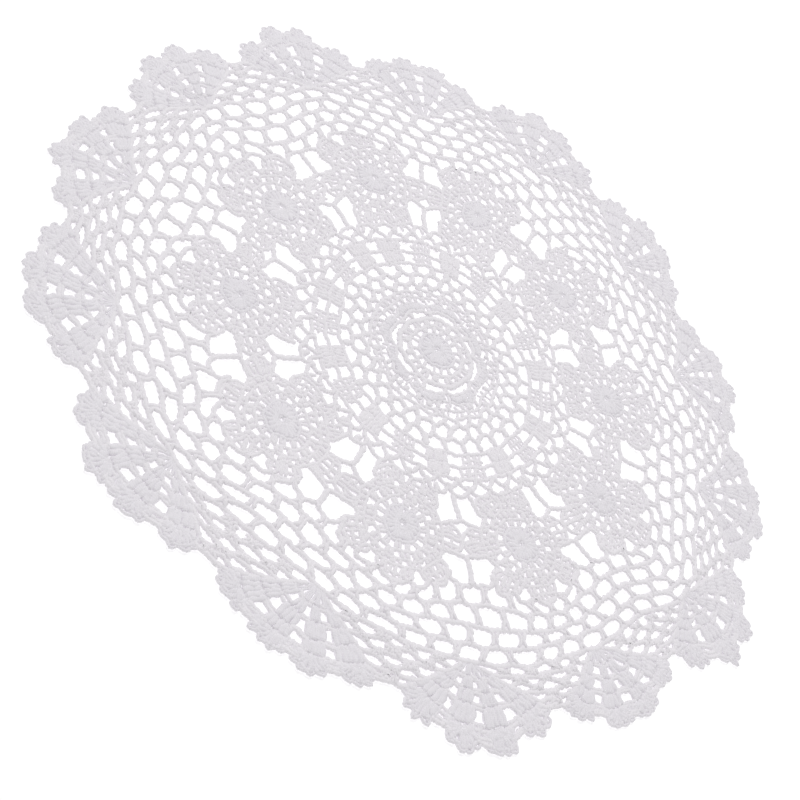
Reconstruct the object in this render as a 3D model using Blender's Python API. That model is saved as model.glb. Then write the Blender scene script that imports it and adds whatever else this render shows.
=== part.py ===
"""Round crocheted lace doily, lying flat.

One cotton sheet, worked round after round from its centre: a small medallion, an inner net,
a band of blocks, a ring of ten round flowers, an outer net and a border of fourteen scallops.
The sheet is drawn first as an even design in rings (1 ring = the radius of the circle through
the flowers' centres), then pulled out of true as a hand-stretched doily is.
Origin: under the middle of the sheet's box, on the surface it lies on. +Z is up.
"""
import math

import bpy
from mathutils import Vector
from mathutils.geometry import delaunay_2d_cdt

# Driving dimensions, in metres
RING = 0.096
SHEET_THICKNESS = 0.002

# The even design: radii and lengths in rings, angles in degrees
FLOWERS = 10
FLOWER_ANGLE = 4.0
FLOWER_PITCH = 360.0 / FLOWERS
SCALLOPS = 14
SCALLOP_PITCH = 360.0 / SCALLOPS
LOOPS = 70
LOOP_PITCH = 360.0 / LOOPS
FIRST_NOTCH = FLOWER_ANGLE + 1.5 * LOOP_PITCH
NOTCH_RADIUS = 1.765
STRAND = 0.020

# Outer net: rounds of loops, numbered from the one that joins the flowers (0) outwards.
# mean and wave: radius of the loops' tops and how far it swells over each flower.
# lean: how far, in degrees, the loops crowd towards the flower's own line.
NET_ROUNDS = [
    # round, mean,  wave,  lean
    (-1, 1.219, 0.039, 0.80),
    (0, 1.258, 0.047, 0.80),
    (1, 1.322, 0.034, 0.55),
    (2, 1.405, 0.020, 0.30),
    (3, 1.475, 0.013, 0.00),
    (4, 1.550, 0.008, 0.00),
]
FIRST_CUT_ROUND = 1
LAST_CUT_ROUND = 4
# Loops of round 3 nearest a flower's line are the smallest of their round and stay uncut.
UNCUT_ROUND = 3
UNCUT_REACH = 0.6 * LOOP_PITCH

# Shape of a net gap. Its foot is where the two loops below it part, as a share of their height.
PARTING = 0.70
# Its lower edge passes over those loops, its crown stays under its own, in strand widths
SILL_RISE = 0.2
CROWN_WALL = 0.72
# How far the lower edge's middle points and the crown's ends lie towards the next loop's line
SILL_SPREAD = 0.5
CROWN_SPREAD = 0.42
# Where two loops of a round run side by side
BAR_WIDTH = 0.036

# The two pairs of large gaps beside each line midway between two flowers
# (radius, degrees from that line), one side; the other side is its mirror image
OUTER_GAP = [
    # radius, degrees
    (1.066, 0.9),
    (1.150, 0.8),
    (1.190, 2.8),
    (1.170, 5.2),
    (1.110, 6.1),
    (1.070, 4.4),
]
INNER_GAP = [
    # radius, degrees
    (0.750, 1.0),
    (0.848, 0.9),
    (0.850, 3.2),
    (0.815, 5.8),
    (0.768, 6.2),
    (0.742, 4.2),
]

# A scallop is a fan of four lobes about a point on its own line
FAN_FOOT = 1.50
LOBE_TURNS = (-45.0, -15.0, 15.0, 45.0)
LOBE_DISTANCE = 0.352
LOBE_RADIUS = 0.098
TOOTH = 0.007
TOOTH_TURNS = (-60.0, -36.0, -12.0, 12.0, 36.0, 60.0)

# How the sheet was pulled out of true.
# Flowers: how far each is turned from its even place, and its distance from the centre
FLOWER_PULL = [
    # degrees, rings
    (1.1, 1.043),
    (-1.0, 1.007),
    (-0.2, 1.024),
    (-1.3, 1.017),
    (-3.5, 1.011),
    (0.5, 0.963),
    (-0.2, 0.989),
    (0.5, 0.972),
    (2.2, 0.994),
    (1.9, 0.987),
]
# Scallops: turn and radius of the notch before each, and how far its middle lobes rise
SCALLOP_PULL = [
    # degrees, rings, rise
    (2.1, 1.807, 0.150),
    (1.1, 1.826, 0.155),
    (0.7, 1.795, 0.215),
    (0.9, 1.891, 0.235),
    (0.4, 1.857, 0.155),
    (-0.5, 1.757, 0.195),
    (-0.8, 1.741, 0.175),
    (-1.9, 1.732, 0.150),
    (-2.6, 1.758, 0.150),
    (-2.6, 1.726, 0.150),
    (0.0, 1.666, 0.125),
    (2.6, 1.674, 0.185),
    (3.7, 1.700, 0.140),
    (3.2, 1.736, 0.210),
]
EVEN_RISE = 0.170
# The medallion sits a little to one side of the ring of flowers
CENTRE_SLIP = 0.030
CENTRE_SLIP_ANGLE = -40.0
CENTRE_SLIP_RADIUS = 0.55
CENTRE_SLIP_END = 0.95
PULL_START = 0.60

# How the sheet's triangles are laid out between its edges
INSIDE_WITH_HOLES = 2
MERGE_DISTANCE = 1e-7

COTTON_WHITE = (0.80, 0.79, 0.80, 1.0)
COTTON_ROUGHNESS = 0.9


def around(values, place):
    """Smooth curve through a closed ring of values, read at a place counted in steps."""
    first = math.floor(place)
    t = place - first
    a, b, c, d = (values[(first + step) % len(values)] for step in (-1, 0, 1, 2))
    slope = c - a
    bend = 2 * a - 5 * b + 4 * c - d
    twist = 3 * (b - c) + d - a
    return b + 0.5 * t * (slope + t * (bend + t * twist))


def ramp(value, low, high):
    """0 below low, 1 above high, even between."""
    return min(1.0, max(0.0, (value - low) / (high - low)))


def mix(first, last, share):
    """The value that lies this share of the way from first to last."""
    return first + share * (last - first)


def unit(angle):
    """Direction of an angle in degrees."""
    return Vector((math.cos(math.radians(angle)), math.sin(math.radians(angle))))


def pulled(radius, angle):
    """Point of the real sheet, in metres, for a point of the even design."""
    flower = (angle - FLOWER_ANGLE) / FLOWER_PITCH
    scallop = (angle - FIRST_NOTCH) / SCALLOP_PITCH
    outward = ramp(radius, 1.0, NOTCH_RADIUS)
    inward = ramp(radius, PULL_START, 1.0) * (1.0 - outward)
    turn = inward * around([row[0] for row in FLOWER_PULL], flower)
    turn += outward * around([row[0] for row in SCALLOP_PULL], scallop)
    reach = min(radius, NOTCH_RADIUS)
    reach += inward * (around([row[1] for row in FLOWER_PULL], flower) - 1.0)
    reach += outward * (around([row[1] for row in SCALLOP_PULL], scallop) - NOTCH_RADIUS)
    rise = SCALLOP_PULL[math.floor(scallop) % SCALLOPS][2]
    reach += max(0.0, radius - NOTCH_RADIUS) * rise / EVEN_RISE
    slip = CENTRE_SLIP * ramp(radius, 0.0, CENTRE_SLIP_RADIUS)
    slip *= 1.0 - ramp(radius, CENTRE_SLIP_RADIUS, CENTRE_SLIP_END)
    return RING * (reach * unit(angle + turn) + slip * unit(CENTRE_SLIP_ANGLE))


def loop_top(number, turn):
    """Top of a loop of one net round: (radius, angle); turn is its even place in degrees."""
    mean, wave, lean = next(row[1:] for row in NET_ROUNDS if row[0] == number)
    swell = math.radians(FLOWERS * (turn - FLOWER_ANGLE))
    return mean + wave * math.cos(swell), turn - lean * math.sin(swell)


def net_gaps():
    """The cut gaps of the outer net, each between loops of three rounds."""
    gaps = []
    for number in range(FIRST_CUT_ROUND, LAST_CUT_ROUND + 1):
        for step in range(LOOPS):
            turn = FLOWER_ANGLE + (step + (number % 2) / 2) * LOOP_PITCH
            off_line = (turn - FLOWER_ANGLE + FLOWER_PITCH / 2) % FLOWER_PITCH - FLOWER_PITCH / 2
            if number == UNCUT_ROUND and abs(off_line) < UNCUT_REACH:
                continue
            foot = loop_top(number - 2, turn)
            left = loop_top(number - 1, turn - LOOP_PITCH / 2)
            right = loop_top(number - 1, turn + LOOP_PITCH / 2)
            top = loop_top(number, turn)
            crown = top[0] - CROWN_WALL * STRAND
            bar = math.degrees(BAR_WIDTH / 2 / top[0])
            gaps.append([
                (mix(foot[0], (left[0] + right[0]) / 2, PARTING), foot[1]),
                (right[0] + SILL_RISE * STRAND, mix(foot[1], right[1], SILL_SPREAD)),
                (right[0] + STRAND / 2, right[1] - bar),
                (crown, mix(top[1], right[1], CROWN_SPREAD)),
                (crown, mix(top[1], left[1], CROWN_SPREAD)),
                (left[0] + STRAND / 2, left[1] + bar),
                (left[0] + SILL_RISE * STRAND, mix(foot[1], left[1], SILL_SPREAD)),
            ])
    return gaps


def flower_gaps():
    """The large gaps between neighbouring flowers, in mirrored pairs."""
    gaps = []
    for flower in range(FLOWERS):
        midway = FLOWER_ANGLE + (flower + 0.5) * FLOWER_PITCH
        for outline in (OUTER_GAP, INNER_GAP):
            for side in (-1, 1):
                gaps.append([(radius, midway + side * turn) for radius, turn in outline])
    return gaps


def scallop_outline(number):
    """One scallop's edge from its first notch, as (radius, angle) of the even design."""
    line = FIRST_NOTCH + (number + 0.5) * SCALLOP_PITCH
    points = [(NOTCH_RADIUS, FIRST_NOTCH + number * SCALLOP_PITCH)]
    for lobe in LOBE_TURNS:
        for step, tooth in enumerate(TOOTH_TURNS):
            reach = LOBE_RADIUS + (TOOTH if step % 2 else -TOOTH)
            point = FAN_FOOT * unit(0.0) + LOBE_DISTANCE * unit(lobe) + reach * unit(lobe + tooth)
            points.append((point.length, line + math.degrees(math.atan2(point.y, point.x))))
    return points


def sheet_mesh(name, outline, gaps, thickness):
    """Closed flat sheet: the outline with its gaps cut through, underside at z = 0."""
    rims = [[pulled(radius, angle) for radius, angle in rim] for rim in [outline] + gaps]
    low = Vector((min(p.x for p in rims[0]), min(p.y for p in rims[0])))
    high = Vector((max(p.x for p in rims[0]), max(p.y for p in rims[0])))
    middle = (low + high) / 2
    points = [point - middle for rim in rims for point in rim]
    loops = []
    for rim in rims:
        first = loops[-1][-1] + 1 if loops else 0
        loops.append(list(range(first, first + len(rim))))
    flat, _, faces, _, _, _ = delaunay_2d_cdt(points, [], loops, INSIDE_WITH_HOLES, MERGE_DISTANCE)
    count = len(flat)
    vertices = [(p.x, p.y, 0.0) for p in flat] + [(p.x, p.y, thickness) for p in flat]
    top = [[corner + count for corner in face] for face in faces]
    under = [face[::-1] for face in faces]
    half_edges = {(face[i], face[(i + 1) % len(face)]) for face in faces for i in range(len(face))}
    walls = [[a, b, b + count, a + count] for a, b in half_edges if (b, a) not in half_edges]
    mesh = bpy.data.meshes.new(name)
    mesh.from_pydata(vertices, [], top + under + walls)
    mesh.validate()
    return mesh


def cotton():
    """Plain white crochet cotton."""
    material = bpy.data.materials.new("cotton")
    material.use_nodes = True
    shader = material.node_tree.nodes["Principled BSDF"]
    shader.inputs["Base Color"].default_value = COTTON_WHITE
    shader.inputs["Roughness"].default_value = COTTON_ROUGHNESS
    shader.inputs["Metallic"].default_value = 0.0
    return material


def build_doily():
    """The whole sheet, one piece of crochet."""
    outline = [point for number in range(SCALLOPS) for point in scallop_outline(number)]
    mesh = sheet_mesh("doily", outline, flower_gaps() + net_gaps(), SHEET_THICKNESS)
    doily = bpy.data.objects.new("doily", mesh)
    doily.data.materials.append(cotton())
    bpy.context.collection.objects.link(doily)
    return doily


for old in list(bpy.data.objects):
    bpy.data.objects.remove(old)
build_doily()
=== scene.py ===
# %% [markdown]
# # A round crocheted doily, built stitch by stitch
#
# The real thing is one long cotton thread, worked with a hook from the centre outwards: a small
# medallion, an inner net, a band of blocks, a ring of ten round flowers, an outer net and a
# border of fourteen scallops. Crochet has only a few kinds of strand, so this script first
# charts every strand as a line on an even plan, then pulls the plan out of true, and last
# spins each line into a thread with its own stitches. That way follows the maker's own order,
# and one change to the plan moves every stitch that hangs on it.

# %% Load the fixed frame
import math

import bpy
import numpy as np
from mathutils import Matrix, Vector


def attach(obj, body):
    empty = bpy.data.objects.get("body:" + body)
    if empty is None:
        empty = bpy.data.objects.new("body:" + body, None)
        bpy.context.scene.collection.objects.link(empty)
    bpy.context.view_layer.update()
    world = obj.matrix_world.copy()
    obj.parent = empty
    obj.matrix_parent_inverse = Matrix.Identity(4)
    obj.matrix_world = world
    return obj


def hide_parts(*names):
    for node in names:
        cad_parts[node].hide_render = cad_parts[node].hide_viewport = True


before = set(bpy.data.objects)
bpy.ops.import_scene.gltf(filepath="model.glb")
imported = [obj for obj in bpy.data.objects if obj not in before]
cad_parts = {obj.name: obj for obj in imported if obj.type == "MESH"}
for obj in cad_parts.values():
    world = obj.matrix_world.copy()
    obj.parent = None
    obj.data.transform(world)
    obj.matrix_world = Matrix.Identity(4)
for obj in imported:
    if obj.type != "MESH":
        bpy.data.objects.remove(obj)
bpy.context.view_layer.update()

# %% [markdown]
# ## The plan's units
#
# A maker counts rounds and stitches, not millimetres. The plan is the same: its lengths are in
# rings, where 1 ring is the circle through the flowers' centres, and its angles are degrees.
# Points are complex numbers, because a turn about a centre is then one multiplication.

# %% Units and the counts of the pattern
RING = 0.096
FLOWERS = 10
FLOWER_ANGLE = 4.0
FLOWER_PITCH = 360.0 / FLOWERS
SCALLOPS = 14
SCALLOP_PITCH = 360.0 / SCALLOPS
LOOPS = 70
LOOP_PITCH = 360.0 / LOOPS
FIRST_NOTCH = FLOWER_ANGLE + 1.5 * LOOP_PITCH
NOTCH_RADIUS = 1.765
MILLIMETRE = 0.001 / RING
NET_MIDDLE = 1.40


def at(radius, degrees, centre=0.0):
    """Points at a radius and an angle round a centre."""
    return centre + np.asarray(radius) * np.exp(1j * np.radians(degrees))


def spread(middle, pitch, count):
    """So many angles, one pitch apart, centred on the middle one."""
    return middle + pitch * (np.arange(count) - (count - 1) / 2)


loop_width = math.radians(LOOP_PITCH) * NET_MIDDLE / MILLIMETRE
print(f"one ring is {1000 * RING:.0f} mm, a mesh in the middle of the net is {loop_width:.1f} mm wide")

# %% [markdown]
# ## How the doily was pulled out of true
#
# A doily that was washed and stretched by hand is never even: flowers slip round the ring and
# scallops stand further out on one side. Short tables say how far each flower and each notch
# was pulled, and a smooth curve through each table moves everything between them. A second,
# finer waver keeps any two meshes of the net from being alike.

# %% The pull tables and the smooth curve through them
FLOWER_PULL = np.array([
    # degrees, rings
    (0.2, 1.043),
    (-0.8, 1.007),
    (-0.7, 1.016),
    (-2.0, 1.007),
    (-2.6, 0.999),
    (-0.2, 0.969),
    (0.1, 0.989),
    (0.5, 0.985),
    (2.4, 0.994),
    (2.1, 0.999),
])
SCALLOP_PULL = np.array([
    # degrees, rings, rise, then how far the net is pulled out at the notch and at the fan's foot
    (1.9, 1.815, 0.145, -0.019, -0.028),
    (0.7, 1.814, 0.165, -0.021, -0.020),
    (0.7, 1.795, 0.215, -0.013, 0.022),
    (0.8, 1.887, 0.225, -0.033, 0.022),
    (0.2, 1.852, 0.145, -0.010, -0.040),
    (-0.4, 1.752, 0.200, -0.018, 0.025),
    (-0.9, 1.736, 0.170, -0.009, 0.034),
    (-2.1, 1.728, 0.145, 0.013, 0.006),
    (-2.8, 1.753, 0.140, 0.003, -0.008),
    (-3.0, 1.722, 0.150, 0.008, 0.038),
    (-0.2, 1.666, 0.120, -0.012, -0.019),
    (2.5, 1.676, 0.185, 0.005, 0.030),
    (3.6, 1.700, 0.135, 0.019, 0.000),
    (3.1, 1.736, 0.220, -0.023, 0.063),
])
NET_START = 1.15
NET_FULL = 1.50
FAN_FOOT = 1.50
EVEN_RISE = 0.170
CENTRE_SLIP = 0.030
CENTRE_SLIP_ANGLE = -40.0
CENTRE_SLIP_RADIUS = 0.55
CENTRE_SLIP_END = 0.95
PULL_START = 0.60


def around(values, place):
    """Smooth curve through a closed ring of values, read at places counted in steps."""
    first = np.floor(place).astype(int)
    t = place - first
    a, b, c, d = (values[(first + step) % len(values)] for step in (-1, 0, 1, 2))
    slope = c - a
    bend = 2 * a - 5 * b + 4 * c - d
    twist = 3 * (b - c) + d - a
    return b + 0.5 * t * (slope + t * (bend + t * twist))


def ramp(value, low, high):
    """0 below low, 1 above high, even between."""
    return np.clip((value - low) / (high - low), 0.0, 1.0)


# %% The pull itself
WAVER = [
    # rings of waver, waves along x and y, phase
    (0.0060, 7.0, 9.0, 0.3),
    (0.0045, -19.0, 16.0, 1.9),
    (0.0030, 37.0, 31.0, 4.1),
    (0.0022, 63.0, -57.0, 2.2),
    (0.0018, -88.0, -103.0, 5.0),
]


def pulled(points):
    """Where points of the even plan lie on the real doily, in rings."""
    radius, angle = np.abs(points), np.degrees(np.angle(points))
    flower = (angle - FLOWER_ANGLE) / FLOWER_PITCH
    scallop = (angle - FIRST_NOTCH) / SCALLOP_PITCH
    outward = ramp(radius, 1.0, NOTCH_RADIUS)
    inward = ramp(radius, PULL_START, 1.0) * (1.0 - outward)
    turn = inward * around(FLOWER_PULL[:, 0], flower) + outward * around(SCALLOP_PULL[:, 0], scallop)
    reach = np.minimum(radius, NOTCH_RADIUS)
    reach = reach + inward * (around(FLOWER_PULL[:, 1], flower) - 1.0)
    reach = reach + outward * (around(SCALLOP_PULL[:, 1], scallop) - NOTCH_RADIUS)
    lift = around(SCALLOP_PULL[:, 3:].ravel(), 2 * scallop)
    in_net = ramp(radius, NET_START, NET_FULL) * (1.0 - ramp(radius, FAN_FOOT, NOTCH_RADIUS))
    reach = reach + lift * in_net
    rise = SCALLOP_PULL[np.floor(scallop).astype(int) % SCALLOPS, 2]
    reach = reach + np.maximum(0.0, radius - NOTCH_RADIUS) * rise / EVEN_RISE
    slip = CENTRE_SLIP * ramp(radius, 0.0, CENTRE_SLIP_RADIUS)
    slip = slip * (1.0 - ramp(radius, CENTRE_SLIP_RADIUS, CENTRE_SLIP_END))
    return at(reach, angle + turn) + at(slip, CENTRE_SLIP_ANGLE)


def wavered(points):
    """The same points moved by a small smooth waver."""
    moved = points.copy()
    for size, along_x, along_y, phase in WAVER:
        wave = along_x * points.real + along_y * points.imag + phase
        moved += size * (np.cos(wave) + 1j * np.sin(wave + phase))
    return moved


# %% [markdown]
# ## The middle of the sheet
#
# The solid sheet of the frame is centred on its own box, and the plan on the medallion. The
# solid's edge says how far the two are apart: fourteen scallops, four round lobes to a scallop
# and three plain teeth to a lobe. So that edge is worked out here once, on the same plan.

# %% From the plan to the frame
LOBE_TURNS = (-45.0, -13.5, 13.5, 45.0)
LOBE_DISTANCE = 0.352
LOBE_RADIUS = 0.098
EDGE_TOOTH = 0.007
EDGE_TURNS = np.array([-60.0, -36.0, -12.0, 12.0, 36.0, 60.0])
EDGE_REACH = LOBE_RADIUS + EDGE_TOOTH * np.array([-1, 1, -1, 1, -1, 1])
scallop_lines = FIRST_NOTCH + (np.arange(SCALLOPS) + 0.5) * SCALLOP_PITCH
edge = pulled(np.concatenate([
    at(1.0, line) * (FAN_FOOT + at(LOBE_DISTANCE, lobe) + at(EDGE_REACH, lobe + EDGE_TURNS))
    for line in scallop_lines
    for lobe in LOBE_TURNS
]))
middle = complex(edge.real.min() + edge.real.max(), edge.imag.min() + edge.imag.max()) / 2


def placed(points):
    """Points of the plan as (x, y) in metres, in the frame."""
    real = (wavered(pulled(points)) - middle) * RING
    return np.stack([real.real, real.imag], axis=1)


print(f"the medallion lies {1000 * RING * abs(middle):.1f} mm from the middle of the sheet")

# %% [markdown]
# ## Kinds of strand
#
# Four kinds of strand make all of it. A **chain** is a row of V-shaped stitches, a little
# thicker in the middle of each. A **link** is a short chain that stands as a post of the net.
# A **treble** is a tall stitch, a post of two turned strands. A **picot** is a tight little
# chain at the very edge. Each strand of the chart is kept with its kind, its line on the plan,
# its height over the table along that line, and its width as a share of its kind's. What a hand
# does unevenly is drawn by chance from a fixed seed: the strays say how far a point may be off.

# %% The chart: every strand of the doily, by piece
hand = np.random.default_rng(7)
CHAIN_WIDTH = 0.0023
TREBLE_WIDTH = 0.0018
PICOT_WIDTH = 0.0015
REST = 0.00095
OVER = 0.00055
HOOP_STEP = 1.5 * MILLIMETRE
FINE_STRAY = 0.002
LINE_STRAY = 0.003
TOP_STRAY = 0.004
STOP_SHORT = 0.002
chart = {}


def stray(size, count=None):
    """How far off the hand is this time, or each of so many times."""
    return hand.normal(0.0, size, count)


def work(piece, kind, path, width=1.0, lift=0.0):
    """Adds one strand to a piece; lift is its height over the resting height, along the path."""
    path = np.asarray(path, dtype=complex)
    chart.setdefault(piece, []).append((kind, path, width, np.broadcast_to(lift, len(path))))


def hoop(piece, radius, centre=0.0, width=1.0, zigzag=0.0, waves=0, first=0.0):
    """A closed round of chain; it laps over its own start. Posts may pull it into waves."""
    count = max(12, int(2 * math.pi * radius / HOOP_STEP))
    angles = np.linspace(0.0, 360.0 * (1 + 1 / count), count + 2)
    path = at(radius + zigzag * np.cos(np.radians(waves * (angles - first))), angles, centre)
    work(piece, "chain", path, width)


def post(piece, inner, outer, start, end=None, centre=0.0, width=1.0):
    """One treble from an inner radius to an outer one, straight out if it has no end angle."""
    end = start if end is None else end
    work(piece, "treble", [at(inner, start, centre), at(outer, end, centre)], width)


def block(piece, inner, outer, start, end, count, centre=0.0, snug=1.12, unsteady=0.0):
    """Trebles side by side that fill the room between two angles; above 1, snug presses them."""
    pitch = (end - start) / count
    room = math.radians(pitch) * (inner + outer) / 2
    width = snug * room * RING / TREBLE_WIDTH
    for turn in spread((start + end) / 2, pitch, count):
        low, high = stray(unsteady, 2)
        post(piece, inner, outer, turn + low, turn + high, centre, width)


# %% [markdown]
# ## A loop of chain
#
# Open rounds are worked in loops: a chain leaves the round before, arches over and comes down
# on it again further on. Where it is hooked over the old chain, its feet reach down past it and
# lie a little higher. The arch is a superellipse: with a power of 2 it would be a half ellipse,
# lower powers make it pointed, and higher ones make its shoulders squarer.

# %% A loop of chain
FOOT_SPREAD = 0.0080
FOOT_DEPTH = 0.012
ARCH_STEPS = 15


def arch_height(share, square):
    """Height of a superellipse arch at a share of its half width."""
    return (1 - np.minimum(np.abs(share), 1.0) ** square) ** (1 / square)


def loop(piece, left, right, top, square, hooked=True, centre=0.0, width=1.0):
    """Chain loop between two feet by way of its top, each a (radius, angle)."""
    phase = np.linspace(math.pi, 0.0, ARCH_STEPS)
    across = np.sign(np.cos(phase)) * np.abs(np.cos(phase)) ** (2 / square)
    up = np.abs(np.sin(phase)) ** (2 / square)
    foot = np.where(across[:, None] < 0, left, right)
    radius = foot[:, 0] + (top[0] - foot[:, 0]) * up
    angle = foot[:, 1] + (top[1] - foot[:, 1]) * (1 - np.abs(across))
    if not hooked:
        work(piece, "chain", at(radius, angle, centre), width)
        return
    angle = angle - np.degrees(FOOT_SPREAD / top[0]) * (1 - up) * np.sign(across)
    radius = [left[0] - FOOT_DEPTH, *radius, right[0] - FOOT_DEPTH]
    angle = [angle[0], *angle, angle[-1]]
    lift = [0.0, *OVER * (1 - up) ** 2, 0.0]
    work(piece, "chain", at(radius, angle, centre), width, lift)


# %% [markdown]
# ## The medallion
#
# The heart is a disc of twenty trebles round a tight ring, and each flower has one just like
# it. Then come a round of single posts, a round of pairs, and eight low loops, some of them
# tied down in the middle. Each loop carries a shell of a dozen trebles, so the shell's base
# follows the loop and its top spreads out, and one long treble fills the slit between two
# shells. Two rounds of loose posts crown the shells and lead over to the inner net. The hearts
# and shells are a piece of their own, because they are worked firmer than the rest, and their
# cotton is painted slightly greyer as painted shade from their close threads on each other.

# %% The heart of a motif
HEART_RING = 0.014
HEART_FOOT = 0.015
HEART_TOP = 0.084
HEART_TREBLES = 20
HEART_ROUND = 0.088


def heart(centre=0.0, first=0.0):
    """A small closed ring, the disc of trebles round it, and the round that closes the disc."""
    hoop("hearts", HEART_RING, centre, width=0.65)
    block("hearts", HEART_FOOT, HEART_TOP, first, first + 360.0, HEART_TREBLES, centre, snug=1.8)
    hoop("hearts", HEART_ROUND, centre, width=0.9)


# %% A shell of the medallion
SHELLS = 8
SHELL_ANGLE = 25.0
SHELL_PITCH = 360.0 / SHELLS
SHELL_FOOT = 0.190
SHELL_LOOP = 0.236
SHELL_SQUARE = 2.4
SHELL_TOP = 0.281
SHELL_DOME = 0.00006
SHELL_TREBLES = 12
SHELL_STEP = 2.95
SHELL_SPREAD = 1.03
CROWN_ROUND = 0.312
MEDALLION_EDGE = 0.344
CROWNS = [
    # inner and outer radius, posts to a shell
    (SHELL_TOP, CROWN_ROUND, 6),
    (CROWN_ROUND, MEDALLION_EDGE, 7),
]
CROWN_STRAYS = (1.2, 1.5)
CROWN_WIDTHS = (0.6, 1.7)
TIED_LOOPS = 0.35
TIE_FOOT = 0.182
TIE_STRAY = 5.0
TIE_WIDTHS = (0.7, 1.8)
TREBLE_GAP = 0.006


def shell_top(turn):
    """Radius of a shell's top at a turn off its line: a shallow dome."""
    return SHELL_TOP - SHELL_DOME * turn ** 2


def shell(line):
    """One loop of the medallion, the trebles in it, the chain on them and the posts on that."""
    feet = (SHELL_FOOT, line - SHELL_PITCH / 2), (SHELL_FOOT, line + SHELL_PITCH / 2)
    loop("medallion", *feet, (SHELL_LOOP, line), square=SHELL_SQUARE, hooked=False)
    if hand.random() < TIED_LOOPS:
        start = line + stray(TIE_STRAY)
        post("medallion", TIE_FOOT, SHELL_LOOP, start, width=hand.uniform(*TIE_WIDTHS))
    base = spread(0.0, SHELL_STEP, SHELL_TREBLES)
    rise = arch_height(base / (SHELL_PITCH / 2), SHELL_SQUARE) * (SHELL_LOOP - SHELL_FOOT)
    for turn, height in zip(base, rise):
        foot = SHELL_FOOT + height + TREBLE_GAP
        head = shell_top(turn) + stray(TOP_STRAY)
        post("hearts", foot, head, line + turn, line + SHELL_SPREAD * turn, width=1.35)
    crown = np.linspace(-SHELL_PITCH / 2, SHELL_PITCH / 2, 14)
    crown_reach = shell_top(crown) + stray(LINE_STRAY, 14)
    work("medallion", "chain", at(crown_reach, line + crown), width=0.8)
    for inner, outer, count in CROWNS:
        for turn in spread(0.0, SHELL_PITCH / count, count):
            start = line + turn + stray(CROWN_STRAYS[0])
            end = start + stray(CROWN_STRAYS[1])
            post("medallion", inner, outer, start, end, width=hand.uniform(*CROWN_WIDTHS))
    post("medallion", SHELL_FOOT, SHELL_TOP, line + SHELL_PITCH / 2, width=0.75)


# %% The medallion
EYELETS = 16
EYELET_PITCH = 360.0 / EYELETS
EYELET_POSTS = (0.092, 0.131)
EYELET_PAIRS = (0.136, 0.176)
EYELET_STRAY = 2.5
EYELET_WIDTHS = (0.8, 1.7)
PAIR_INSET = 4.0
PAIR_ROUND = 0.186
CROWN_WAVE = 0.007
EDGE_WAVE = 0.003

heart()
for turn in EYELET_PITCH * np.arange(EYELETS):
    line = turn + stray(EYELET_STRAY)
    post("medallion", *EYELET_POSTS, line, width=hand.uniform(*EYELET_WIDTHS))
    start, end = turn + PAIR_INSET, turn + EYELET_PITCH - PAIR_INSET
    block("medallion", *EYELET_PAIRS, start, end, 2, unsteady=2.0)
hoop("medallion", EYELET_PAIRS[0], width=1.1)
hoop("medallion", PAIR_ROUND, width=1.35)
for line in SHELL_ANGLE + SHELL_PITCH * np.arange(SHELLS):
    shell(line)
hoop("medallion", CROWN_ROUND, width=0.75, zigzag=CROWN_WAVE, waves=SHELLS, first=SHELL_ANGLE)
hoop("medallion", MEDALLION_EDGE, width=0.9, zigzag=EDGE_WAVE, waves=2 * SHELLS, first=SHELL_ANGLE)
print(len(chart["medallion"]), "strands in the medallion")

# %% [markdown]
# ## The inner net
#
# Three rounds of thirty-two meshes, each a single post and a few chains. Each round's posts
# stand midway between those of the round before, like the joints of bricks, and the posts pull
# the rounds of chain into low waves. The last round's posts stand right under the band.

# %% The inner net
INNER_MESHES = 32
INNER_PITCH = 360.0 / INNER_MESHES
INNER_ANGLE = 5.125
INNER_ROUNDS = [0.343, 0.387, 0.452, 0.517]
INNER_WAVE = 0.010
INNER_SLANT = 1.1
INNER_WIDTHS = (1.2, 2.0)

for number, (inner, outer) in enumerate(zip(INNER_ROUNDS, INNER_ROUNDS[1:])):
    first = INNER_ANGLE + INNER_PITCH / 2 * (number % 2)
    for turn in first + INNER_PITCH * np.arange(INNER_MESHES):
        start, end = turn + stray(INNER_SLANT, 2)
        ends = inner + STOP_SHORT, outer - 2 * STOP_SHORT
        post("inner_net", *ends, start, end, width=hand.uniform(*INNER_WIDTHS))
    if outer < INNER_ROUNDS[-1]:
        hoop("inner_net", outer, width=1.15, zigzag=-INNER_WAVE, waves=INNER_MESHES, first=first)
print(len(chart["inner_net"]), "strands in the inner net")

# %% [markdown]
# ## The band of blocks
#
# Twenty-one blocks of trebles, two rows high, with an open window between each two. Every
# second block is worked solid and the others are spaced, with a chain across each row, which
# reads as a fine grating. Twenty-one is odd, so at one place two solid blocks are neighbours.
# Two rounds of small arches finish the band, and a good many of the outer ones have a post.

# %% The band
WINDOWS = 21
WINDOW_PITCH = 360.0 / WINDOWS
FIRST_WINDOW = 176.0
BLOCK_HALF = 5.5
BLOCK_TREBLES = 6
SOLID_BLOCK = {"snug": 1.45, "unsteady": 0.2}
SPACED_BLOCK = {"snug": 0.80, "unsteady": 0.45}
BLOCK_STRAYS = (0.35, 0.25)
CREST_STRAY = 0.6
TIED_ARCH_STRAY = 1.5
TIED_ARCH_WIDTHS = (0.9, 1.9)
BAND_ROUNDS = [0.518, 0.583, 0.648]
BAND_ARCHES = [
    # feet's radius, top's radius, shift in arches, squareness, share of them with a post
    (0.648, 0.700, 0.5, 1.7, 0.0),
    (0.698, 0.740, 0.0, 2.2, 0.45),
]

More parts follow.
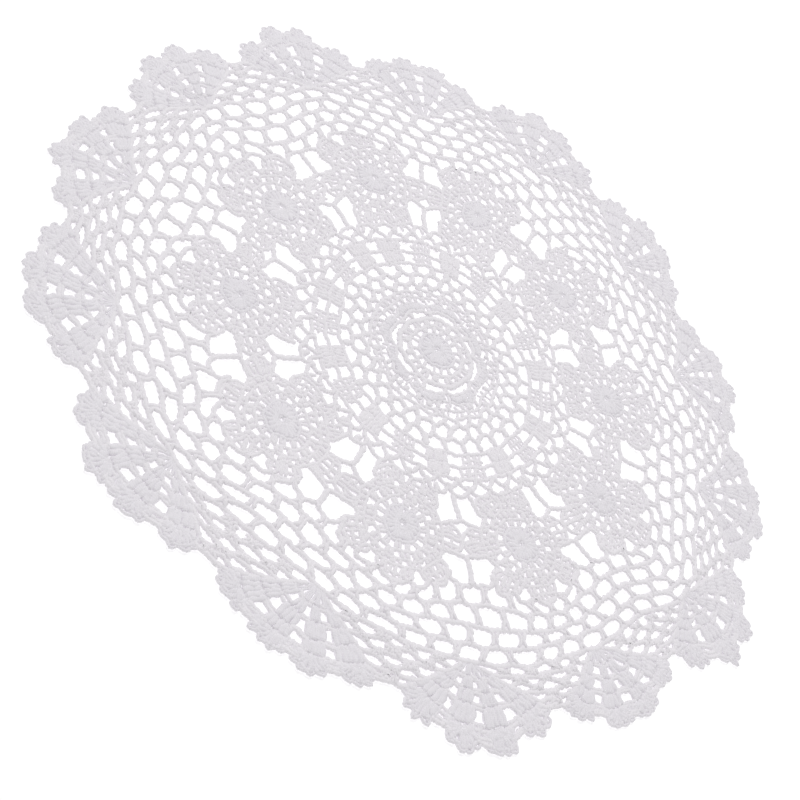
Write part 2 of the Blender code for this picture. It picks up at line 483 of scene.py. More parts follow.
for radius in BAND_ROUNDS:
    hoop("band", radius, width=0.95)
for number in range(WINDOWS):
    middle_line = FIRST_WINDOW - (number + 0.5) * WINDOW_PITCH
    solid = number == 0 or number % 2 == 1
    for inner, outer in zip(BAND_ROUNDS, BAND_ROUNDS[1:]):
        shift = stray(BLOCK_STRAYS[0])
        half = BLOCK_HALF + stray(BLOCK_STRAYS[1])
        sides = middle_line + shift - half, middle_line + shift + half
        ends = inner + STOP_SHORT, outer - STOP_SHORT
        block("band", *ends, *sides, BLOCK_TREBLES, **(SOLID_BLOCK if solid else SPACED_BLOCK))
        if not solid:
            crossing = (inner + outer) / 2 + stray(LINE_STRAY, 7)
            work("band", "chain", at(crossing, np.linspace(*sides, 7)), width=0.75)
for radius, top, shift, square, tied in BAND_ARCHES:
    pitch = WINDOW_PITCH / 2
    for turn in FIRST_WINDOW + (np.arange(2 * WINDOWS) + shift) * pitch:
        left, right = (radius, turn - pitch / 2), (radius, turn + pitch / 2)
        crest = top + stray(TOP_STRAY), turn + stray(CREST_STRAY)
        loop("band", left, right, crest, square=square)
        if hand.random() < tied:
            start, width = turn + stray(TIED_ARCH_STRAY), hand.uniform(*TIED_ARCH_WIDTHS)
            post("band", radius, crest[0], start, crest[1], width=width)
print(len(chart["band"]), "strands in the band")

# %% [markdown]
# ## The flowers
#
# Each flower is worked apart: a heart like the medallion's, three rounds of two or three posts
# with small eyelets between them, staggered like bricks, and seven petals. A petal is a loop of
# chain filled with seven trebles, with a chain across them for its vein. Fourteen eyelets to a
# round give each petal two. A flower isn't quite even: the petal that points outwards is broad,
# those beside the next flowers are narrower and reach further, so each has its row in a table.
# The petals are a piece of their own, which keeps every mesh to a handy size.

# %% One flower
SPOKES = 14
SPOKE_PITCH = 360.0 / SPOKES
SPOKE_STRAY = 1.6
ROOM_SHARES = (0.85, 1.25)
FLOWER_WAVE = 0.003
PETAL_FOOT = 0.214
PETAL_SLANT = 2.0
PETAL_WIDTHS = (0.7, 1.2)
PETAL_TREBLES = 7
PETAL_STEPS = 4.2
PETAL_WALL = 0.004
PETAL_SPREAD = 1.08
PETAL_VEIN = 0.55
VEIN_HALF = 0.75
PETAL_SHAPES = [
    # petal's line off the flower's, tip's distance from the centre, half width in degrees,
    # squareness; all but the first are on both sides
    (0.0, 0.284, 20.0, 2.6),
    (51.0, 0.286, 19.5, 2.4),
    (103.0, 0.307, 18.0, 1.9),
    (158.5, 0.284, 19.0, 2.4),
]
FLOWER_ROUNDS = [
    # inner radius, outer radius, shift in spokes, posts to a spoke, room they fill in degrees
    (0.092, 0.132, 0.0, 2, 15.0),
    (0.139, 0.176, 0.5, 2, 17.5),
    (0.183, 0.210, 0.0, 3, 19.0),
]


def petal_reach(turn, number):
    """Distance of a petal's edge from the flower's centre, at a turn off the petal's line."""
    _, reach, half, square = PETAL_SHAPES[number]
    return PETAL_FOOT + (reach - PETAL_FOOT) * arch_height(turn / half, square)


def petal(centre, flower_line, side, number):
    """One petal on a side of its flower: trebles in a loop of chain, and a vein across them."""
    lean, reach, half, square = PETAL_SHAPES[number]
    line = flower_line + side * lean
    feet = (PETAL_FOOT, line - half), (PETAL_FOOT, line + half)
    loop("petals", *feet, (reach, line), square, hooked=False, centre=centre, width=0.9)
    for turn in spread(0.0, half / PETAL_STEPS, PETAL_TREBLES):
        head = petal_reach(PETAL_SPREAD * turn, number) - PETAL_WALL
        low, high = stray(PETAL_SLANT, 2)
        start, end = line + turn + low, line + PETAL_SPREAD * turn + high
        post("petals", PETAL_FOOT, head, start, end, centre, hand.uniform(*PETAL_WIDTHS))
    vein = np.linspace(-VEIN_HALF, VEIN_HALF, 6) * half
    vein_reach = PETAL_FOOT + PETAL_VEIN * (petal_reach(vein, number) - PETAL_FOOT)
    vein_reach += stray(LINE_STRAY, 6)
    work("petals", "chain", at(vein_reach, line + vein, centre), width=0.8)


def flower(line):
    """A flower whose outward direction is its line."""
    centre = at(1.0, line)
    heart(centre, line)
    for inner, outer, shift, count, room in FLOWER_ROUNDS:
        first = line + shift * SPOKE_PITCH
        strays = stray(SPOKE_STRAY, SPOKES)
        for turn in line + (np.arange(SPOKES) + shift) * SPOKE_PITCH + strays:
            half = room / 2 * hand.uniform(*ROOM_SHARES)
            block("flowers", inner, outer, turn - half, turn + half, count, centre, unsteady=1.0)
        reach = outer + FLOWER_WAVE
        hoop("flowers", reach, centre, 0.95, zigzag=-FLOWER_WAVE, waves=SPOKES, first=first)
    petal(centre, line, 1, 0)
    for number in range(1, len(PETAL_SHAPES)):
        for side in (-1, 1):
            petal(centre, line, side, number)


def tip(line, step):
    """Where net is joined to a flower's petals: two places to a petal, counted from its line."""
    turn = (step + 0.5) * SPOKE_PITCH
    leans = [shape[0] for shape in PETAL_SHAPES]
    number = int(np.argmin(np.abs(np.array(leans) - abs(turn))))
    reach = petal_reach(abs(turn) - leans[number], number)
    return at(reach, line + turn, at(1.0, line))


# %% [markdown]
# ## Joining the flowers
#
# On the line midway between two flowers their side petals meet tip to tip. Short chains from
# the petals' shoulders meet above and below, and a bar runs on from each: outwards to the net's
# first round and inwards to the band. Two more chains tie each flower's lower petals to the band.

# %% All ten flowers and their joins
OUTER_JOIN = 1.053
INNER_JOIN = 0.868
OUTER_KNOT = 1.18
BAND_JOIN = 0.738
BAND_JOIN_LEAN = 11.6
BARS = [
    # radius where a bar starts, radius where it ends
    (OUTER_JOIN - 0.01, OUTER_KNOT),
    (INNER_JOIN + 0.01, BAND_JOIN),
]
SIDE_JOINS = [
    # turn off the flower's line, distance from its centre, radius at the midway line
    (87.0, 0.222, OUTER_JOIN),
    (119.0, 0.222, INNER_JOIN),
]

for line in FLOWER_ANGLE + FLOWER_PITCH * np.arange(FLOWERS):
    flower(line)
    midway = line + FLOWER_PITCH / 2
    for side in (-1, 1):
        edge_line = line + side * FLOWER_PITCH / 2
        for turn, reach, radius in SIDE_JOINS:
            start = at(reach, line + side * turn, at(1.0, line))
            work("joins", "chain", [start, at(radius, edge_line)], width=1.05)
        inner = tip(line, 5) if side > 0 else tip(line, -6)
        work("joins", "chain", [inner, at(BAND_JOIN, line + side * BAND_JOIN_LEAN)])
    for start, end in BARS:
        work("joins", "chain", at([start, (start + end) / 2, end], midway), width=1.2)
print(len(chart["flowers"]), "strands in the flowers")

# %% [markdown]
# ## The outer net
#
# Round 0 ties the flowers' outer petals together, seven loops to a flower. Rounds 1 to 4 have
# seventy meshes each. Loops that hang on each other would be the obvious way to make them, but
# pulled tight they look otherwise: the tops run together into one chain that dips where it is
# held, and two sides of neighbouring loops become one post. So a round is worked here as one
# chain, with posts of two short links that bend out into the rounds at both ends, and the holes
# come out six-sided. Over each flower the net is lifted, and the lift dies away from round to
# round, so the tops follow a wave with ten crests. No hand makes all meshes alike, so each top
# is also moved a little by chance, and the next round's posts stand on it and move with it.

# %% The outer net's rounds
NET_ROUNDS = {
    # round: mean radius, wave, lean in degrees
    0: (1.240, 0.047, 0.80),
    1: (1.316, 0.036, 0.55),
    2: (1.398, 0.021, 0.30),
    3: (1.472, 0.010, 0.00),
    4: (1.547, 0.004, 0.00),
}
HAND_REACH = 0.004
HAND_TURN = 0.30
FLOWER_LOOPS = LOOPS // FLOWERS
loop_tops = {}


def loop_top(number, place):
    """Top of a loop of one net round: (radius, angle); place counts half loops round the net."""
    key = number, place % (2 * LOOPS)
    if key not in loop_tops:
        loop_tops[key] = stray(HAND_REACH), stray(HAND_TURN)
    mean, wave, lean = NET_ROUNDS[number]
    turn = FLOWER_ANGLE + place * LOOP_PITCH / 2
    swell = math.radians(FLOWERS * (turn - FLOWER_ANGLE))
    more_reach, more_turn = loop_tops[key]
    return mean + wave * math.cos(swell) + more_reach, turn - lean * math.sin(swell) + more_turn


def between(left, right, drop=0.0):
    """The (radius, angle) midway between two, a little lower."""
    return (left[0] + right[0]) / 2 - drop, (left[1] + right[1]) / 2


def polar(point, near):
    """(radius, angle) of a point, with the angle within half a turn of a near one."""
    return abs(point), near + (math.degrees(np.angle(point)) - near + 180.0) % 360.0 - 180.0


# %% A post of the net
POST_HALF = 0.0062
POST_FLARE = 0.021
FLARE_RISE = 0.014
POST_STRAND = 0.87
LINE_DROP = 0.009
NET_LINE = 1.20
LINK_WIDTHS = (0.9, 1.2)


def net_post(foot, head, half=POST_HALF, flare=POST_FLARE):
    """Two strands back to back between two rounds; their ends bend out along both rounds."""
    rise = min(FLARE_RISE, 0.3 * (head[0] - foot[0]))
    mid_radius, mid_turn = (foot[0] + head[0]) / 2, (foot[1] + head[1]) / 2
    radius = np.array([foot[0] + STOP_SHORT, foot[0] + rise, mid_radius, head[0] - rise, head[0]])
    turn = np.array([foot[1], foot[1], mid_turn, head[1], head[1]])
    shoulder = half + 0.3 * (flare - half)
    aside = np.array([flare, shoulder, half, shoulder, flare])
    for side in (-1, 1):
        strand = at(radius, turn + side * np.degrees(aside / radius))
        width = POST_STRAND * hand.uniform(*LINK_WIDTHS)
        work("net", "link", strand, width, [0.0, OVER, OVER, OVER, 0.0])


# %% Working the outer net
for number in range(FLOWERS):
    line = FLOWER_ANGLE + number * FLOWER_PITCH
    feet = [(OUTER_KNOT, line - FLOWER_PITCH / 2)]
    feet += [polar(tip(line, step), line) for step in range(-3, 3)]
    feet += [(OUTER_KNOT, line + FLOWER_PITCH / 2)]
    for step, (left, right) in enumerate(zip(feet, feet[1:])):
        top = loop_top(0, 2 * (FLOWER_LOOPS * number + step - 3))
        loop("net", left, right, top, square=2.3, width=1.06)
for number in range(1, 5):
    round_line = []
    for place in range(number % 2, 2 * LOOPS, 2):
        top, following = loop_top(number, place), loop_top(number, place + 2)
        head = between(top, following, LINE_DROP)
        round_line += [top, head]
        net_post(loop_top(number - 1, place + 1), head)
    round_line += round_line[:2]
    radius, angle = np.array(round_line).T
    work("net", "chain", at(radius, angle), width=NET_LINE)
print(len(chart["net"]), "strands in the outer net")

# %% [markdown]
# ## The border's fans
#
# Every scallop is a fan that opens from one mesh of the net. It has four rays of trebles in
# five rows, with windows between the rays, and two strands of chain bridge each window from row
# to row. The rays bend: they leave the foot close together and open like a hand, so a fan's
# angle grows with the distance from its foot, fast at first and then hardly. Each ray ends in a
# lobe, a half round of tight trebles with a rim of chain and four pointed teeth, and two short
# chains close the seam between two lobes.

# %% The fans' rows
FAN_ROWS = [
    # inner and outer distance from the foot, trebles to a ray, width of a window
    (0.045, 0.128, 3, 0.004),
    (0.128, 0.198, 3, 0.030),
    (0.198, 0.272, 4, 0.040),
    (0.272, 0.348, 5, 0.053),
    (0.348, 0.392, 6, 0.055),
]
FAN_OPENING = 60.0
OPENING_LENGTH = 0.095
OPENING_POWER = 1.2
RAY_EDGE = 0.95
RAYS = (-0.75, -0.25, 0.25, 0.75)
BRIDGES = (-0.5, 0.0, 0.5)
BRIDGE_STEPS = (-0.007, 0.007)
BRIDGE_HALF = 0.16
BRIDGE_WIDTHS = (0.75, 1.05)
RAY_SNUG = 1.5
RAY_HALF = 0.25
RAY_STRAY = 0.008
SLIT_SHARES = (0.7, 1.2)
SEAMS = [
    # line of the seam between two lobes, half its width, its chains' distances from the foot
    (-27.5, 8.0, (0.380, 0.393)),
    (0.0, 7.0, (0.388, 0.402)),
    (27.5, 8.0, (0.380, 0.393)),
]
LOBE_FOOT = 0.012
LOBE_TOP = 0.080
LOBE_RIM = 0.077
LOBE_HALF = 78.0
RIM_HALF = 112.0
LOBE_POSTS = 9
TOOTH_SIDES = np.array([-17.0, -12.0, 0.0, 12.0, 17.0])
TOOTH_REACH = np.array([0.070, 0.087, 0.100, 0.087, 0.070])
TOOTH_POST = (0.066, 0.093)
TOOTH_STRAY = 0.0025
TOOTH_LEAN = 2.5
TOOTH_LINES = {
    # lobe's line off the fan's: its teeth's lines off its own, from the fan's middle outwards
    13.5: (-50.0, -20.0, 8.0, 38.0),
    45.0: (-50.0, -14.0, 20.0, 52.0),
}


def opening(distance):
    """Half the angle of a fan, in degrees, at a distance from its foot."""
    return FAN_OPENING * (1 - math.exp(-(distance / OPENING_LENGTH) ** OPENING_POWER))


def ray_row(foot, line, ray, row):
    """The trebles of one ray in one row; they open with the fan."""
    inner, outer, count, window = row
    half_inner, half_outer = opening(inner), opening(outer)
    slit = math.degrees(window * hand.uniform(*SLIT_SHARES) / (inner + outer)) / half_inner
    start = max(ray - RAY_HALF + slit, -RAY_EDGE)
    end = min(ray + RAY_HALF - slit, RAY_EDGE)
    pitch = (end - start) / count
    room = pitch * math.radians(half_outer) * (inner + outer) / 2
    width = RAY_SNUG * room * RING / TREBLE_WIDTH
    for place in spread((start + end) / 2, pitch, count):
        low, high = stray(RAY_STRAY, 2) + place
        post("fans", inner, outer, line + half_inner * low, line + half_outer * high, foot, width)


def bridge(foot, line, place, distance):
    """Chain that crosses a window between two rays, two strands of it."""
    for step in BRIDGE_STEPS:
        reach = distance + step + stray(FINE_STRAY, 4)
        turns = opening(distance) * (place + np.linspace(-BRIDGE_HALF, BRIDGE_HALF, 4))
        work("fan_chains", "chain", at(reach, line + turns, foot), hand.uniform(*BRIDGE_WIDTHS))


def tooth(line, centre):
    """One pointed tooth of a lobe: a small loop round a short post."""
    reach = TOOTH_REACH + stray(TOOTH_STRAY, 5)
    lean = stray(TOOTH_LEAN)
    work("lobes", "picot", at(reach, line + lean + TOOTH_SIDES, centre))
    work("lobes", "picot", at(TOOTH_POST, line + lean, centre), width=1.15)


def lobe(fan_line, lean):
    """The rounded end of one ray, which leans off the fan's line."""
    line = fan_line + lean
    centre = at(LOBE_DISTANCE, line, at(FAN_FOOT, fan_line))
    sides = line - LOBE_HALF, line + LOBE_HALF
    block("lobes", LOBE_FOOT, LOBE_TOP, *sides, LOBE_POSTS, centre, snug=1.75, unsteady=2.5)
    rim = np.linspace(-RIM_HALF, RIM_HALF, 15)
    work("lobes", "chain", at(LOBE_RIM, line + rim, centre), width=0.95)
    for turn in TOOTH_LINES[abs(lean)]:
        tooth(line + math.copysign(1.0, lean) * turn, centre)


def border_fan(line):
    """One scallop: rows of trebles, the chains between them, and the four lobes at its edge."""
    foot = at(FAN_FOOT, line)
    for row in FAN_ROWS:
        for ray in RAYS:
            ray_row(foot, line, ray, row)
    for row in FAN_ROWS[:-1]:
        for place in BRIDGES:
            bridge(foot, line, place, row[1])
    for turn, half, distances in SEAMS:
        for distance in distances:
            reach = distance + stray(FINE_STRAY, 4)
            turns = line + turn + np.linspace(-half, half, 4)
            work("fan_chains", "chain", at(reach, turns, foot), width=1.05)
    for lean in LOBE_TURNS:
        lobe(line, lean)


for line in scallop_lines:
    border_fan(line)
print(len(chart["fans"]), "trebles in the fans' rows")

# %% [markdown]
# ## The net between the fans
#
# The net goes on between two fans in rounds that are hung on the fans' edges. Each round has one
# mesh less than the one before, down to two, so the room closes to a notch, and one last chain
# is laid over it. A round is again one chain that dips and rises, with posts, but here the
# thread lies thicker: each post is two pairs of links, one close together and one apart.

# %% The net between the fans
BORDER_ROUNDS = [
    # fan's edge node: distance from its foot and angle off its line; then the feet between the
    # edges as shares of the way to the next fan, their radius, and the tops' radius
    (0.075, 33.0, (0.22, 0.41, 0.59, 0.78), 1.545, 1.590),
    (0.130, 45.0, (0.3, 0.5, 0.7), 1.588, 1.630),
    (0.205, 50.0, (0.4, 0.6), 1.628, 1.670),
    (0.282, 53.0, (0.5,), 1.668, 1.710),
    (0.350, 54.0, (0.5,), 1.708, 1.748),
]
NOTCH_LOOP = (0.400, 55.0)
NOTCH_TOP = NOTCH_RADIUS - 0.008
BORDER_DROP = 0.013
BORDER_ARCH = 0.012
BORDER_LINE = 1.10
BORDER_STRAY = 0.25
BORDER_PAIRS = [
    # half the distance between the strands of a pair at mid height, and at its ends
    (0.005, 0.018),
    (0.015, 0.036),
]


def fan_edge(line, distance, turn):
    """A point at the edge of the fan on a line; a turn above 0 is towards the next fan."""
    return polar(at(FAN_FOOT, line) + at(distance, line + turn), line)


def bulge(line, turn):
    """How far the rounds between two fans are arched outwards at an angle."""
    return BORDER_ARCH * math.sin(math.pi * (turn - line) / SCALLOP_PITCH)


def border_round(line, number):
    """One round of the net between the fan on a line and the next: its chain and its posts."""
    distance, turn, shares, radius, top = BORDER_ROUNDS[number]
    start = fan_edge(line, distance, turn)
    turns = [line + share * SCALLOP_PITCH + stray(BORDER_STRAY) for share in shares]
    feet = [(radius + bulge(line, foot), foot) for foot in turns]
    end = fan_edge(line + SCALLOP_PITCH, distance, -turn)
    path = [start]
    for left, right in zip([start] + feet, feet + [end]):
        midway = (left[1] + right[1]) / 2
        path.append((top + bulge(line, midway) + stray(LINE_STRAY), midway))
        path.append((top + bulge(line, right[1]) - BORDER_DROP, right[1]))
    path[-1] = end
    reach, angle = np.array(path).T
    work("net", "chain", at(reach, angle), width=BORDER_LINE)
    for foot in feet:
        head = top + bulge(line, foot[1]) - BORDER_DROP, foot[1]
        for half, flare in BORDER_PAIRS:
            net_post(foot, head, half, flare)


for line in scallop_lines:
    for number in range(len(BORDER_ROUNDS)):
        border_round(line, number)
    distance, turn = NOTCH_LOOP
    near = at(*fan_edge(line, distance, turn))
    far = at(*fan_edge(line + SCALLOP_PITCH, distance, -turn))
    notch = at(NOTCH_TOP, line + SCALLOP_PITCH / 2)
    work("net", "chain", [near, notch, far])
print(len(chart["net"]), "strands in the whole net")

# %% [markdown]
# ## Spinning a line into thread
#
# Each line of the chart becomes a closed tube. The plan's line is pulled, smoothed and cut
# into equal steps, and round each step stands a ring of points. A curve with a bevel would be
# quicker, but its section is the same all along. Here the rings aren't plain circles: a chain
# swells once a stitch and has a V-shaped groove, and a treble is two lobes that turn as they
# climb. A stitch map goes with the mesh: u counts stitches along the strand and v goes once
# round it, so that the cotton's plies can follow them.

# %% Sizes of a strand's rings
STITCH = 0.0027
TURN = 0.0042
KINDS = {
    # width, height as a share of width, points in a ring, rings' distance
    "chain": (CHAIN_WIDTH, 0.78, 6, STITCH / 3),
    "link": (CHAIN_WIDTH, 0.78, 5, STITCH / 3),
    "treble": (TREBLE_WIDTH, 0.85, 7, 0.0011),
    "picot": (PICOT_WIDTH, 0.95, 6, STITCH / 3),
}
random = np.random.default_rng(11)


def evened(points, step):
    """A smooth curve through points, cut into equal steps; also the length along it."""
    if len(points) > 2:
        slope = np.gradient(points, axis=0)
        t = np.linspace(0, 1, 6, endpoint=False)[None, :, None]
        a, b = points[:-1, None], points[1:, None]
        u, v = slope[:-1, None], slope[1:, None]
        curve = (2 * t**3 - 3 * t**2 + 1) * a + (t**3 - 2 * t**2 + t) * u
        curve += (3 * t**2 - 2 * t**3) * b + (t**3 - t**2) * v
        points = np.concatenate([curve.reshape(-1, 3), points[-1:]])
    reach = np.concatenate([[0.0], np.cumsum(np.linalg.norm(np.diff(points, axis=0), axis=1))])
    count = max(2, round(reach[-1] / step) + 1)
    length = np.linspace(0.0, reach[-1], count)
    return np.stack([np.interp(length, reach, axis) for axis in points.T], axis=1), length


def relief(kind, length, phi):
    """How far a strand's surface stands from its line, as a share of its width."""
    side = np.abs(np.cos(phi))
    if kind == "treble":
        return 1.0 + 0.20 * np.cos(2 * phi - 2 * math.pi * length / TURN)
    groove = np.cos(math.pi * (length / STITCH - 0.38 * side)) ** 6
    seam = np.exp(-((side / 0.3) ** 2))
    return 1.0 + 0.08 * side - 0.34 * groove - 0.12 * seam


# %% Spinning one strand
END_TAPER = 0.7
TALLEST = 0.0019
STRAY = 0.00013
UNEVEN = 0.06
QUAD = ((0, 0), (0, 1), (1, 1), (1, 0))  # how far forward and sideways a face's corners are


def strayed(count):
    """How far each ring of a strand strays from its line, as no hand holds a thread quite even."""
    noise = random.normal(0.0, STRAY, (count + 2, 2))
    return noise[:-2] / 2 + noise[1:-1] + noise[2:] / 2


def spun(kind, path, width, lift):
    """Points, faces and stitch map of one strand's closed tube."""
    across, flatness, sides, step = KINDS[kind]
    flat = placed(path)
    line, length = evened(np.column_stack([flat, REST + lift]), step)
    line[:, :2] += strayed(len(line))
    tangent = np.gradient(line, axis=0)
    aside = np.stack([-tangent[:, 1], tangent[:, 0]], axis=1)
    aside /= np.linalg.norm(aside, axis=1)[:, None]
    phi = 2 * math.pi * np.arange(sides) / sides
    size = relief(kind, length[:, None] + random.random() * STITCH, phi[None])
    size *= across / 2 * width * (1.0 + UNEVEN * random.standard_normal(len(line)))[:, None]
    size[0] *= END_TAPER
    size[-1] *= END_TAPER
    points = np.repeat(line[:, None], sides, axis=1)
    points[..., :2] += (size * np.cos(phi))[..., None] * aside[:, None]
    points[..., 2] += size * np.sin(phi) * min(flatness, TALLEST / (across * width))
    ring, place = np.indices((len(line) - 1, sides))
    corners = [(ring + forward, place + sideways) for forward, sideways in QUAD]
    quads = np.stack([row * sides + turn % sides for row, turn in corners], axis=-1)
    u = np.stack([length[row] / STITCH for row, turn in corners], axis=-1)
    v = np.stack([turn / sides for row, turn in corners], axis=-1)
    uv = np.stack([u, v], axis=-1)
    return points.reshape(-1, 3), quads.reshape(-1, 4), uv.reshape(-1, 2), sides


# %% A whole piece from its strands
def piece_mesh(name):
    """One mesh with every strand of a piece, each a closed tube."""
    points, quads, maps, caps, cap_maps, first = [], [], [], [], [], 0
    for strand in chart[name]:
        tube, faces, uv, sides = spun(*strand)
        points.append(tube)
        quads.append(faces + first)
        maps.append(uv)
        start, end = np.arange(sides)[::-1], len(tube) - sides + np.arange(sides)
        for ring, along in ((start, 0.0), (end, uv[-1, 0])):
            caps.append((ring + first).tolist())
            cap_maps += [[along, turn / sides] for turn in range(sides)]
        first += len(tube)
    mesh = bpy.data.meshes.new(name)
    mesh.from_pydata(np.concatenate(points), [], np.concatenate(quads).tolist() + caps)
    stitch_map = mesh.uv_layers.new(name="stitches")
    uv = np.concatenate([*maps, np.array(cap_maps)]).astype(np.float32)
    stitch_map.uv.foreach_set("vector", uv.ravel())
    mesh.shade_smooth()
    return mesh


# %% [markdown]
# ## The cotton
#
# Crochet cotton is matt white with a soft sheen, a trace of blue in its white, fine plies that
# wind round the strand and a haze of loose fibre. The plies are a bump that follows the stitch
# map, so they turn with every loop, and their grooves are painted a little darker as painted
# shade; the fibre and the tone are noise in the object's own space. Loose threads let light
# through from all sides and look almost pure white. Where the work is firm, in the hearts and
# the scallops, the threads shade each other, and a slightly greyer copy of the cotton paints that
# shade. A faint glow of painted light stands for the light that wanders inside the fibre.

# %% Shader group: the plies of a strand
def new_group(name, inputs, outputs):
    """An empty shader group with named float inputs and named outputs."""
    group = bpy.data.node_groups.new(name, "ShaderNodeTree")
    for label, value in inputs.items():
        socket = group.interface.new_socket(label, in_out="INPUT", socket_type="NodeSocketFloat")
        socket.default_value = value
    for label, kind in outputs.items():
        group.interface.new_socket(label, in_out="OUTPUT", socket_type=kind)
    return group, group.nodes.new("NodeGroupInput"), group.nodes.new("NodeGroupOutput")


def maths(group, operation, *values):
    """A Math node fed by sockets or plain numbers."""
    node = group.nodes.new("ShaderNodeMath")
    node.operation = operation
    for socket, value in zip(node.inputs, values):
        if isinstance(value, bpy.types.NodeSocket):
            group.links.new(value, socket)
        else:
            socket.default_value = value
    return node.outputs[0]


def ply_group():
    """Ridges of twisted plies along and round a strand, 0 in the grooves to 1 on the ridges."""
    inputs = {"Plies per stitch": 3.0, "Turns": 2.0}
    group, given, made = new_group("yarn_plies", inputs, {"Height": "NodeSocketFloat"})
    stitch_map = group.nodes.new("ShaderNodeUVMap")
    stitch_map.uv_map = "stitches"
    parts = group.nodes.new("ShaderNodeSeparateXYZ")
    group.links.new(stitch_map.outputs[0], parts.inputs[0])
    along = maths(group, "MULTIPLY", parts.outputs[0], given.outputs["Plies per stitch"])
    turned = maths(group, "MULTIPLY", parts.outputs[1], given.outputs["Turns"])
    phase = maths(group, "MULTIPLY", maths(group, "ADD", along, turned), 2 * math.pi)
    wave = maths(group, "SINE", phase)
    ridge = maths(group, "MULTIPLY", maths(group, "ADD", wave, 1.0), 0.5)
    group.links.new(ridge, made.inputs["Height"])
    return group


# %% Shader group: loose fibre and uneven tone
def fibre_group():
    """Fine fibre noise for the bump and a slow noise for the tone, both 0 to 1."""
    inputs = {"Fibre size": 0.0004, "Tone size": 0.02}
    outputs = {"Fibre": "NodeSocketFloat", "Tone": "NodeSocketFloat"}
    group, given, made = new_group("cotton_fibre", inputs, outputs)
    place = group.nodes.new("ShaderNodeTexCoord")
    for label, output in (("Fibre size", "Fibre"), ("Tone size", "Tone")):
        noise = group.nodes.new("ShaderNodeTexNoise")
        noise.inputs["Detail"].default_value = 3.0
        group.links.new(place.outputs["Object"], noise.inputs["Vector"])
        group.links.new(maths(group, "DIVIDE", 1.0, given.outputs[label]), noise.inputs["Scale"])
        group.links.new(noise.outputs["Fac"], made.inputs[output])
    return group


# %% The cotton itself
# The dark ends of each cotton serve random tone and painted shade in the plies' grooves.
COTTON_WHITE = (0.945, 0.918, 0.955, 1.0)
COTTON_TONE_AND_SHADE = (0.86, 0.835, 0.87, 1.0)
# Painted shade: the firm pieces' cotton is a slightly greyer copy, for the shade their close threads
# cast on each other.
SELF_SHADED_WHITE = (0.917, 0.891, 0.933, 1.0)
SELF_SHADED_DARK = (0.834, 0.810, 0.850, 1.0)
COTTON_GLOW = 0.10
# Painted shade: how much of the colour darkens in the plies' grooves.
PLY_SHADE_SHARE = 0.35
TONE_SHARE = 0.9
BUMP_HEIGHT = 0.0001


def set_inputs(node, values):
    """Sets a node's named inputs."""
    for label, value in values.items():
        node.inputs[label].default_value = value


def cotton(name, white, shade, plies, fibre):
    """Matt crochet cotton between two tones; plies lie along the strands and fibre over all.
    The plies' grooves get painted shade, and the tone changes at random.
    """
    material = bpy.data.materials.new(name)
    material.use_nodes = True
    tree = material.node_tree
    shader = tree.nodes["Principled BSDF"]
    set_inputs(shader, {
        "Roughness": 0.82,
        "Specular IOR Level": 0.25,
        "Sheen Weight": 0.25,
        "Sheen Roughness": 0.6,
        "Emission Color": white,
        "Emission Strength": COTTON_GLOW,
    })
    ply_node = tree.nodes.new("ShaderNodeGroup")
    ply_node.node_tree = plies
    fibre_node = tree.nodes.new("ShaderNodeGroup")
    fibre_node.node_tree = fibre
    colour = tree.nodes.new("ShaderNodeMix")
    colour.data_type = "RGBA"
    set_inputs(colour, {"A": shade, "B": white})
    # Painted shade: the plies' grooves darken the colour; the noise adds random tone.
    ply_groove_shade = maths(tree, "MULTIPLY", ply_node.outputs["Height"], PLY_SHADE_SHARE)
    tone_share = maths(tree, "MULTIPLY", fibre_node.outputs["Tone"], TONE_SHARE)
    share = maths(tree, "MINIMUM", maths(tree, "ADD", ply_groove_shade, tone_share), 1.0)
    tree.links.new(share, colour.inputs["Factor"])
    tree.links.new(colour.outputs["Result"], shader.inputs["Base Color"])
    height = maths(tree, "ADD", ply_node.outputs["Height"], fibre_node.outputs["Fibre"])
    bump = tree.nodes.new("ShaderNodeBump")
    set_inputs(bump, {"Strength": 0.5, "Distance": BUMP_HEIGHT})
    tree.links.new(height, bump.inputs["Height"])
    tree.links.new(bump.outputs["Normal"], shader.inputs["Normal"])
    return material


plies, fibre = ply_group(), fibre_group()
loose_cotton = cotton("crochet_cotton", COTTON_WHITE, COTTON_TONE_AND_SHADE, plies, fibre)
# Painted shade: a greyer copy of the same cotton for the firm pieces.
self_shaded_cotton = cotton("self_shaded_cotton", SELF_SHADED_WHITE, SELF_SHADED_DARK, plies, fibre)
print("each cotton has", len(self_shaded_cotton.node_tree.nodes), "nodes")

# %% [markdown]
# ## The pieces of the doily
#
# Each part of the pattern becomes one piece. All of them ride on the frame's only body and
# together stand for its solid sheet.

# %% Build every piece
# Painted shade: these firm pieces take the greyer cotton for the shade of their close threads.
SELF_SHADED_PIECES = ("hearts", "fans", "lobes")
pieces = {}
total = 0


def added(name, data):
    """A new object of the scene: a mesh, a lamp or a camera."""
    thing = bpy.data.objects.new(name, data)
    bpy.context.scene.collection.objects.link(thing)
    return thing


for name in chart:
    piece = added(name, piece_mesh(name))
    piece.data.materials.append(self_shaded_cotton if name in SELF_SHADED_PIECES else loose_cotton)
    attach(piece, "root")
    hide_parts("doily")
    pieces[name] = piece
    triangles = sum(len(face.vertices) - 2 for face in piece.data.polygons)
    total += triangles
    print(f"{name}: {len(chart[name])} strands, {triangles} triangles")
print(total, "triangles in all")

# %% [markdown]
# ## One sheet of cloth
#
# All the pieces are one sheet of crochet, 375 by 376 mm, that was blocked flat and only lies
# there. The net reaches from the flowers to the notches of the edge and joins all the rest.
# Crochet is mostly air, so the net's area isn't the whole round's: it is what its own cotton
# covers when its loops are laid side by side, half of the surface of its threads.

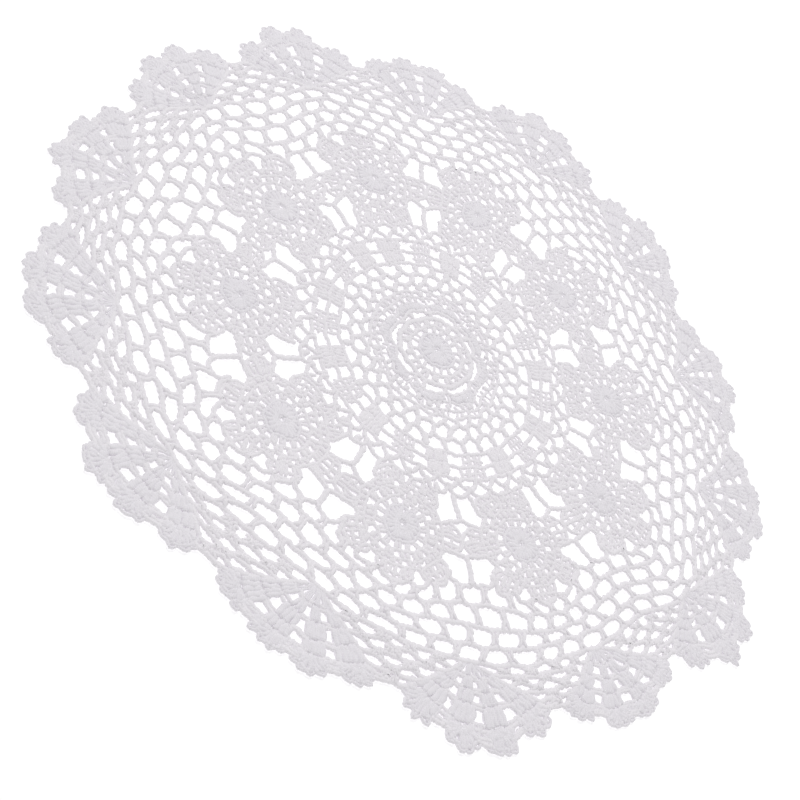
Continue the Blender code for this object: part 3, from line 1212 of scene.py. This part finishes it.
# %% The net's cloth area
threads = sum(face.area for face in pieces["net"].data.polygons)
print(f"the net's threads: {threads:.4f} m2 all round, {threads / 2:.4f} m2 laid flat")

# %% [markdown]
# ## Table, light and camera
#
# The doily lies on a plain white table under a big soft lamp and a pale room, so that each
# strand is lit from all sides and its shadow is faint. The camera looks down at it from one
# side, turned on its own axis, so that the doily runs from corner to corner of the view.

# %% The table
def white_table():
    """A plain pale floor; its small glow keeps it white between the strands."""
    size = 6.0
    mesh = bpy.data.meshes.new("table")
    corners = [(-size, -size, 0), (size, -size, 0), (size, size, 0), (-size, size, 0)]
    mesh.from_pydata(corners, [], [(0, 1, 2, 3)])
    material = bpy.data.materials.new("table_white")
    material.use_nodes = True
    set_inputs(material.node_tree.nodes["Principled BSDF"], {
        "Base Color": (0.93, 0.93, 0.93, 1.0),
        "Roughness": 0.9,
        "Emission Color": (1.0, 1.0, 1.0, 1.0),
        "Emission Strength": 0.35,
    })
    mesh.materials.append(material)
    table = added("table", mesh)


white_table()

# %% The light
def soft_light():
    """A pale room and one large soft lamp."""
    world = bpy.data.worlds.new("room")
    world.use_nodes = True
    room = {"Color": (1.0, 1.0, 1.0, 1.0), "Strength": 0.550}
    set_inputs(world.node_tree.nodes["Background"], room)
    bpy.context.scene.world = world
    lamp = bpy.data.lights.new("soft_lamp", "AREA")
    lamp.shape = "DISK"
    lamp.size = 1.2
    lamp.energy = 17.0
    holder = added("soft_lamp", lamp)
    holder.location = (-0.75, 1.20, 1.95)
    holder.rotation_euler = (-holder.location).to_track_quat("-Z", "Y").to_euler()


soft_light()
bpy.context.scene.view_settings.view_transform = "Standard"

# %% The camera
LOOK_AT = complex(0.0452, -0.3954)
DISTANCE = 5.359 * RING
VIEW_AZIMUTH = 89.46
VIEW_DROP = 45.15
ROLL = 45.41
LENS = 54.9


def camera():
    """The camera, from the point it looks at, its direction and its roll."""
    azimuth, drop, roll = (math.radians(angle) for angle in (VIEW_AZIMUTH, VIEW_DROP, ROLL))
    ahead, down = math.cos(drop), math.sin(drop)
    forward = Vector((math.cos(azimuth) * ahead, math.sin(azimuth) * ahead, -down))
    level = Vector((math.sin(azimuth), -math.cos(azimuth), 0.0))
    right = math.cos(roll) * level + math.sin(roll) * level.cross(forward)
    up = right.cross(forward)
    target = (LOOK_AT - middle) * RING
    lens = bpy.data.cameras.new("camera")
    lens.lens = LENS
    lens.sensor_width = 36.0
    lens.clip_start = 0.01
    holder = added("camera", lens)
    place = Vector((target.real, target.imag, REST)) - DISTANCE * forward
    turn = Matrix((right, up, -forward)).transposed()
    holder.matrix_world = Matrix.Translation(place) @ turn.to_4x4()
    bpy.context.scene.camera = holder


camera()
